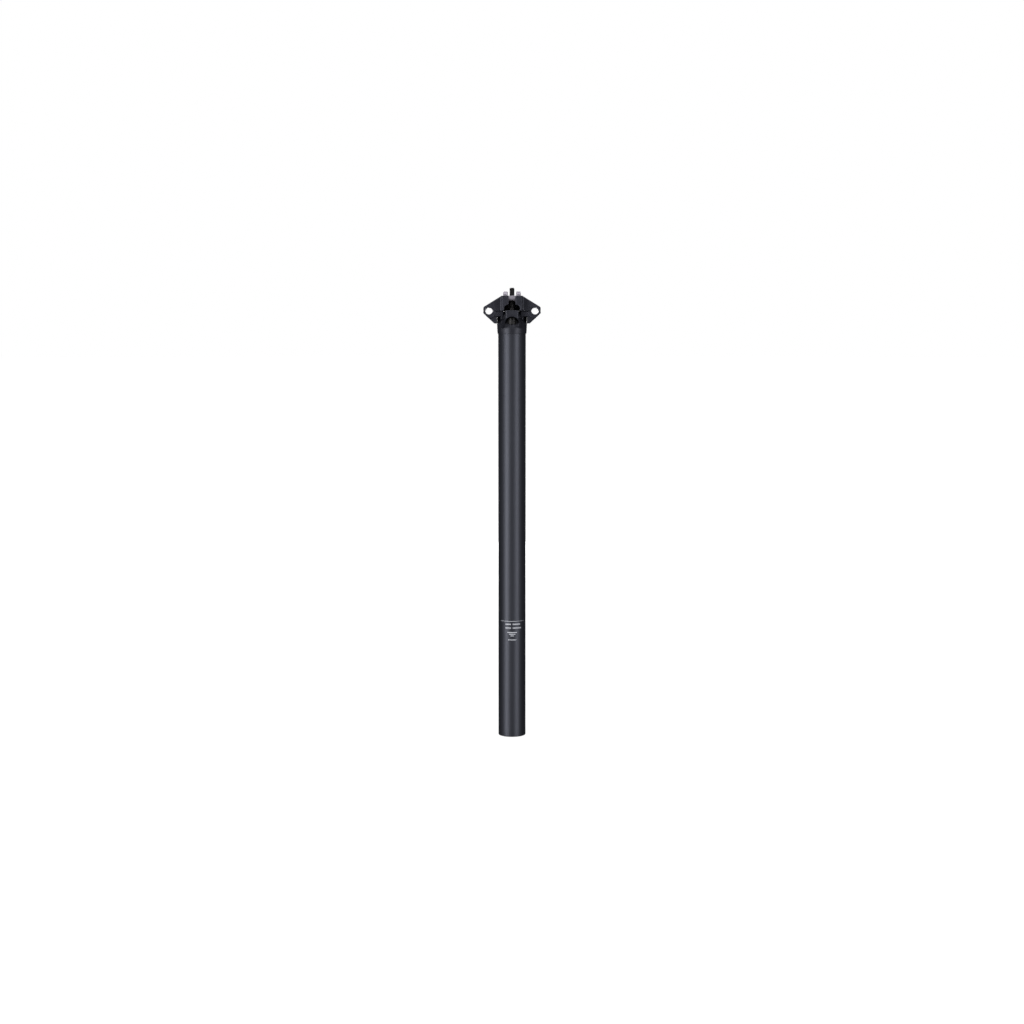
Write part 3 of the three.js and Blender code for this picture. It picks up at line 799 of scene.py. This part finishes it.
def make_lights():
    for name, (spot, aim, size, power) in SOFTBOXES.items():
        data = bpy.data.lights.new(name, "AREA")
        data.shape = "RECTANGLE"
        data.size, data.size_y = size
        data.energy = power
        light = bpy.data.objects.new(name, data)
        light.location = spot
        light.rotation_euler = (Vector(aim) - Vector(spot)).to_track_quat("-Z", "Y").to_euler()
        bpy.context.scene.collection.objects.link(light)


def blend_shaders(tree, share, first, second):
    """The output of a shader that goes from first to second as share goes from 0 to 1."""
    mix = tree.nodes.new("ShaderNodeMixShader")
    tree.links.new(share, mix.inputs["Fac"])
    tree.links.new(first, mix.inputs[1])
    tree.links.new(second, mix.inputs[2])
    return mix.outputs[0]


def floor_material():
    """A floor that only a camera above it sees, pale near the post and white far away."""
    material = bpy.data.materials.new("pale_floor")
    material.use_nodes = True
    tree = material.node_tree
    tree.nodes.clear()
    place = tree.nodes.new("ShaderNodeTexCoord")
    reach = tree.nodes.new("ShaderNodeVectorMath")
    reach.operation = "LENGTH"
    tree.links.new(place.outputs["Object"], reach.inputs[0])
    brightness = spread(tree, reach.outputs["Value"], *FLOOR_GLOW, GLOW_REACH)
    glow = tree.nodes.new("ShaderNodeEmission")
    tree.links.new(brightness, glow.inputs["Strength"])
    matt = tree.nodes.new("ShaderNodeBsdfDiffuse")
    matt.inputs["Color"].default_value = FLOOR_TONE
    lit = tree.nodes.new("ShaderNodeAddShader")
    tree.links.new(glow.outputs[0], lit.inputs[0])
    tree.links.new(matt.outputs[0], lit.inputs[1])
    path = tree.nodes.new("ShaderNodeLightPath")
    geometry = tree.nodes.new("ShaderNodeNewGeometry")
    shown = tree.nodes.new("ShaderNodeMath")
    shown.operation = "SUBTRACT"
    shown.use_clamp = True
    tree.links.new(path.outputs["Is Camera Ray"], shown.inputs[0])
    tree.links.new(geometry.outputs["Backfacing"], shown.inputs[1])
    clear = tree.nodes.new("ShaderNodeBsdfTransparent")
    out = tree.nodes.new("ShaderNodeOutputMaterial")
    shader = blend_shaders(tree, shown.outputs[0], clear.outputs[0], lit.outputs[0])
    tree.links.new(shader, out.inputs["Surface"])
    return material


def make_floor():
    where = (0, 0, -FLOOR_DROP)
    bpy.ops.mesh.primitive_circle_add(vertices=96, radius=FLOOR_RADIUS, fill_type="NGON", location=where)
    floor = bpy.context.object
    floor.name = "floor"
    floor.data.materials.append(floor_material())


def make_world():
    """A white backdrop for the camera, and a dim room for everything else."""
    world = bpy.data.worlds.new("studio")
    bpy.context.scene.world = world
    world.use_nodes = True
    tree = world.node_tree
    tree.nodes.clear()
    path = tree.nodes.new("ShaderNodeLightPath")
    seen = tree.nodes.new("ShaderNodeBackground")
    seen.inputs["Color"].default_value = BACKDROP
    room = tree.nodes.new("ShaderNodeBackground")
    room.inputs["Color"].default_value = ROOM_LIGHT
    out = tree.nodes.new("ShaderNodeOutputWorld")
    shader = blend_shaders(tree, path.outputs["Is Camera Ray"], room.outputs[0], seen.outputs[0])
    tree.links.new(shader, out.inputs["Surface"])
    bpy.context.scene.view_settings.view_transform = "Standard"


# ---- putting it together ------------------------------------------------------------------------


def place(piece, body, slot, material, *nodes):
    """Dresses a piece and fixes it to its body; it stands in for the CAD nodes named."""
    dress(piece, material)
    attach(piece, body)
    if nodes:
        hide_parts(*nodes)


def squash_spring(spring):
    """Gives the spring a mesh of its own."""
    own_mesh(spring)


def build():
    looks = make_materials()
    slots = {s["node"]: s["material_slot"] for s in frame["record"]["subparts"]}
    for name, node in frame["nodes"].items():
        dress(node, looks[slots[name]])
    place(make_tube(), "tube", "anodised_tube", looks["anodised_tube"], "outer_tube")
    place(make_marks(), "tube", "anodised_tube", looks["print"])
    place(make_bottom_cap(), "tube", "anodised_inner", looks["anodised_inner"], "bottom_cap")
    place(make_preload_screw(), "preload_screw", "plated_steel", looks["plated_steel"], "preload_screw")
    place(make_head(), "head", "forged_head", looks["forged_head"], "post_head")
    place(make_lower_cradle(), "cradle", "forged_clamp", looks["forged_clamp"], "lower_cradle")
    place(make_upper_clamp(), "clamp", "forged_clamp", looks["forged_clamp"], "upper_clamp")
    for side, end in ((-1, "front"), (1, "rear")):
        bolt = make_bolt(f"{end}_bolt_threaded", side)
        place(bolt, f"{end}_bolt", "black_steel", looks["black_steel"], f"{end}_bolt")
        nut = make_nut(f"{end}_nut_milled", side)
        place(nut, f"{end}_nut", "plated_nut", looks["plated_nut"], f"{end}_barrel_nut")
        washer = make_washer(f"{end}_washer_turned", side)
        place(washer, "head", "black_steel", looks["black_steel"], f"{end}_head_washer")
    spring = make_spring()
    place(spring, "tube", "spring_steel", looks["spring_steel"], "coil_spring")
    squash_spring(spring)


build()
make_camera()
make_lights()
make_floor()
make_world()
